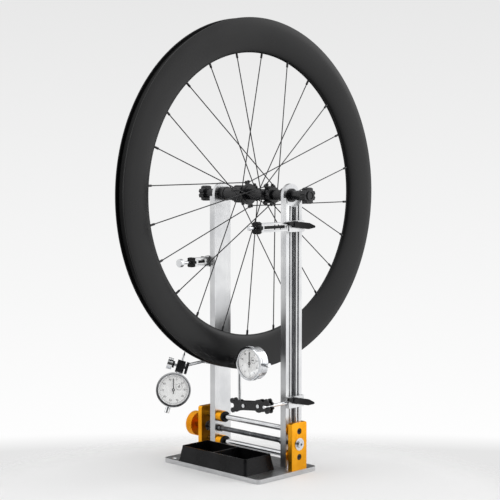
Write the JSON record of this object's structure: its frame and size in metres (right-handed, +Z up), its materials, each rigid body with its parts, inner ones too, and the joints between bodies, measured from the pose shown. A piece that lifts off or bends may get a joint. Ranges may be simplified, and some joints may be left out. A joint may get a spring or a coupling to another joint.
{
  "type": "bicycle wheel truing stand",
  "caption": "Bench stand that holds a bicycle wheel between two self-centring uprights, with clamped dial gauges for side and radial run-out.",
  "frame": {"origin": "centre of the base plate's underside", "axes": "+Z up, +X along the wheel's axle to the right upright, -Y to the tool tray's side"},
  "size_m": [0.289, 0.634, 0.8099],
  "materials": {
    "satin_aluminium": "satin",
    "gold_anodised": "satin",
    "polished_steel": "polished",
    "dark_steel": "satin",
    "black_plastic": "matte",
    "black_anodised": "gloss",
    "black_steel": "satin",
    "carbon": "satin",
    "gauge_chrome": "polished",
    "dial_white": "matte",
    "hand_black": "matte"
  },
  "bodies": {
    "base": {"base_plate": "satin_aluminium", "tool_tray": "black_plastic", "left_end_block": "gold_anodised", "right_end_block": "gold_anodised", "guide_rods": "polished_steel", "rod_bolts": "dark_steel", "screw_bearings": "polished_steel", "block_screws": "dark_steel"},
    "leadscrew": {"leadscrew": "dark_steel", "hand_knob": "gold_anodised", "screw_end_nut": "polished_steel"},
    "left_upright": {"left_upright": "satin_aluminium", "left_bushings": "gold_anodised", "left_rod_wipers": "dark_steel", "left_screw_nut": "dark_steel"},
    "right_upright": {"right_upright": "satin_aluminium", "right_bushings": "gold_anodised", "right_screw_nut": "dark_steel"},
    "left_axle": {"left_axle_shaft": "black_anodised", "left_axle_knob": "black_anodised"},
    "right_axle": {"right_axle_shaft": "black_anodised", "right_axle_knob": "black_anodised"},
    "hub_axle": {"hub_axle": "black_anodised"},
    "wheel": {"rim": "carbon", "hub_shell": "black_anodised", "spokes": "black_steel", "nipples": "black_anodised"},
    "freehub": {"freehub_body": "black_anodised"},
    "lower_right_slider": {"lower_right_slider": "satin_aluminium", "lower_right_arm": "polished_steel"},
    "upper_right_slider": {"upper_right_slider": "satin_aluminium", "upper_right_arm": "satin_aluminium"},
    "upper_left_slider": {"upper_left_slider": "satin_aluminium", "upper_left_arm": "satin_aluminium"},
    "lower_left_slider": {"lower_left_slider": "satin_aluminium"},
    "lower_right_lever": {"lower_right_lever": "black_plastic"},
    "upper_right_lever": {"upper_right_lever": "black_plastic"},
    "upper_left_lever": {"upper_left_lever": "black_plastic"},
    "lower_left_lever": {"lower_left_lever": "black_plastic"},
    "upper_right_probe": {"upper_right_probe": "black_plastic"},
    "upper_left_probe": {"upper_left_probe": "black_plastic"},
    "link": {"link_plates": "black_anodised", "link_screws": "polished_steel"},
    "gauge_post": {"gauge_post": "polished_steel", "post_clamp": "black_anodised"},
    "lateral_gauge": {"lateral_gauge_case": "gauge_chrome", "lateral_gauge_dial": "dial_white"},
    "lateral_bezel": {"lateral_gauge_bezel": "gauge_chrome"},
    "lateral_needle": {"lateral_gauge_needle": "hand_black"},
    "lateral_counter": {"lateral_gauge_counter_hand": "hand_black"},
    "lateral_plunger": {"lateral_gauge_plunger": "polished_steel"},
    "gauge_arm": {"gauge_arm": "polished_steel", "arm_clamp": "black_anodised"},
    "radial_gauge": {"radial_gauge_case": "gauge_chrome", "radial_gauge_dial": "dial_white"},
    "radial_bezel": {"radial_gauge_bezel": "gauge_chrome"},
    "radial_needle": {"radial_gauge_needle": "hand_black"},
    "radial_counter": {"radial_gauge_counter_hand": "hand_black"},
    "radial_plunger": {"radial_gauge_plunger": "polished_steel"}
  },
  "joints": [
    {"name": "leadscrew_turn", "type": "hinge", "parent": "base", "child": "leadscrew", "pos_m": [0, 0.03, 0.054], "axis": [1, 0, 0], "range_deg": [0, 1320]},
    {"name": "left_upright_slide", "type": "slide", "parent": "base", "child": "left_upright", "axis": [-1, 0, 0], "range_m": [0, 0.011]},
    {"name": "right_upright_slide", "type": "slide", "parent": "base", "child": "right_upright", "axis": [1, 0, 0], "range_m": [0, 0.011]},
    {"name": "left_axle_turn", "type": "hinge", "parent": "left_upright", "child": "left_axle", "pos_m": [-0.09, 0.0405, 0.493], "axis": [1, 0, 0], "continuous": true},
    {"name": "right_axle_turn", "type": "hinge", "parent": "right_upright", "child": "right_axle", "pos_m": [0.09, 0.0405, 0.493], "axis": [1, 0, 0], "continuous": true},
    {"name": "hub_axle_turn", "type": "hinge", "parent": "base", "child": "hub_axle", "pos_m": [0, 0.0405, 0.493], "axis": [1, 0, 0], "continuous": true},
    {"name": "wheel_spin", "type": "hinge", "parent": "hub_axle", "child": "wheel", "pos_m": [0, 0.0405, 0.493], "axis": [1, 0, 0], "continuous": true},
    {"name": "freehub_spin", "type": "hinge", "parent": "wheel", "child": "freehub", "pos_m": [-0.033, 0.0405, 0.493], "axis": [1, 0, 0], "continuous": true},
    {"name": "lower_right_slide", "type": "slide", "parent": "right_upright", "child": "lower_right_slider", "axis": [0, 0, 1], "range_m": [-0.015, 0.045]},
    {"name": "upper_right_slide", "type": "slide", "parent": "right_upright", "child": "upper_right_slider", "axis": [0, 0, 1], "range_m": [-0.1, 0]},
    {"name": "upper_left_slide", "type": "slide", "parent": "left_upright", "child": "upper_left_slider", "axis": [0, 0, 1], "range_m": [-0.1, 0.06]},
    {"name": "lower_left_slide", "type": "slide", "parent": "left_upright", "child": "lower_left_slider", "axis": [0, 0, 1], "range_m": [-0.04, 0]},
    {"name": "lower_right_lever_turn", "type": "hinge", "parent": "lower_right_slider", "child": "lower_right_lever", "pos_m": [0.1076, 0.03, 0.1305], "axis": [1, 0, 0], "range_deg": [0, 100]},
    {"name": "upper_right_lever_turn", "type": "hinge", "parent": "upper_right_slider", "child": "upper_right_lever", "pos_m": [0.1076, 0.03, 0.4425], "axis": [1, 0, 0], "range_deg": [-90, 90]},
    {"name": "upper_left_lever_turn", "type": "hinge", "parent": "upper_left_slider", "child": "upper_left_lever", "pos_m": [-0.1076, 0.03, 0.3705], "axis": [1, 0, 0], "range_deg": [-90, 90]},
    {"name": "lower_left_lever_turn", "type": "hinge", "parent": "lower_left_slider", "child": "lower_left_lever", "pos_m": [-0.1076, 0.03, 0.1875], "axis": [1, 0, 0], "range_deg": [0, 100]},
    {"name": "upper_right_probe_turn", "type": "hinge", "parent": "upper_right_slider", "child": "upper_right_probe", "pos_m": [0.1023, -0.05, 0.439], "axis": [0, 1, 0], "continuous": true},
    {"name": "upper_left_probe_turn", "type": "hinge", "parent": "upper_left_slider", "child": "upper_left_probe", "pos_m": [-0.1023, -0.02, 0.367], "axis": [0, 1, 0], "continuous": true},
    {"name": "link_swing", "type": "hinge", "parent": "lower_right_slider", "child": "link", "pos_m": [0.1023, -0.02702, 0.127], "axis": [0, 1, 0], "range_deg": [0, 25]},
    {"name": "post_turn", "type": "hinge", "parent": "link", "child": "gauge_post", "pos_m": [0.0285, -0.02702, 0.15], "axis": [0, 0, 1], "range_deg": [0, 25]},
    {"name": "lateral_gauge_roll", "type": "hinge", "parent": "gauge_post", "child": "lateral_gauge", "pos_m": [0.0285, -0.03777, 0.2009], "axis": [1, 0, 0], "range_deg": [-40, 40]},
    {"name": "lateral_bezel_turn", "type": "hinge", "parent": "lateral_gauge", "child": "lateral_bezel", "pos_m": [0.0725, -0.03777, 0.2009], "axis": [0, 1, 0], "continuous": true},
    {"name": "lateral_plunger_slide", "type": "slide", "parent": "lateral_gauge", "child": "lateral_plunger", "axis": [1, 0, 0], "range_m": [0, 0.006], "stiffness_N_per_m": 50, "springref_m": -0.008},
    {"name": "lateral_needle_turn", "type": "hinge", "parent": "lateral_gauge", "child": "lateral_needle", "pos_m": [0.0725, -0.03777, 0.2009], "axis": [0, 1, 0], "range_deg": [0, 2160]},
    {"name": "lateral_counter_turn", "type": "hinge", "parent": "lateral_gauge", "child": "lateral_counter", "pos_m": [0.08151, -0.03777, 0.20721], "axis": [0, 1, 0], "range_deg": [-216, 0]},
    {"name": "gauge_arm_swing", "type": "hinge", "parent": "lower_left_slider", "child": "gauge_arm", "pos_m": [-0.1023, 0.0095, 0.18], "axis": [0, 0, 1], "range_deg": [-35, 0]},
    {"name": "radial_gauge_roll", "type": "hinge", "parent": "gauge_arm", "child": "radial_gauge", "pos_m": [-0.0103, -0.13335, 0.19644], "axis": [0, 0.3907, 0.9205], "range_deg": [-40, 40]},
    {"name": "radial_bezel_turn", "type": "hinge", "parent": "radial_gauge", "child": "radial_bezel", "pos_m": [-0.0103, -0.15035, 0.1564], "axis": [-0.7431, 0.6159, -0.2614], "continuous": true},
    {"name": "radial_plunger_slide", "type": "slide", "parent": "radial_gauge", "child": "radial_plunger", "axis": [0, -0.3907, -0.9205], "range_m": [0, 0.008], "stiffness_N_per_m": 50, "springref_m": -0.008},
    {"name": "radial_needle_turn", "type": "hinge", "parent": "radial_gauge", "child": "radial_needle", "pos_m": [-0.0103, -0.15035, 0.1564], "axis": [-0.7431, 0.6159, -0.2614], "range_deg": [0, 2880]},
    {"name": "radial_counter_turn", "type": "hinge", "parent": "radial_gauge", "child": "radial_counter", "pos_m": [-0.00509, -0.14199, 0.1613], "axis": [-0.7431, 0.6159, -0.2614], "range_deg": [-288, 0]}
  ],
  "couplings": [
    {"joint": "right_upright_slide", "follows": "left_upright_slide", "ratio": 1},
    {"joint": "leadscrew_turn", "follows": "left_upright_slide", "rad_per_m": 2094},
    {"joint": "lateral_needle_turn", "follows": "lateral_plunger_slide", "rad_per_m": 6283},
    {"joint": "lateral_counter_turn", "follows": "lateral_plunger_slide", "rad_per_m": -628.3},
    {"joint": "radial_needle_turn", "follows": "radial_plunger_slide", "rad_per_m": 6283},
    {"joint": "radial_counter_turn", "follows": "radial_plunger_slide", "rad_per_m": -628.3}
  ]
}
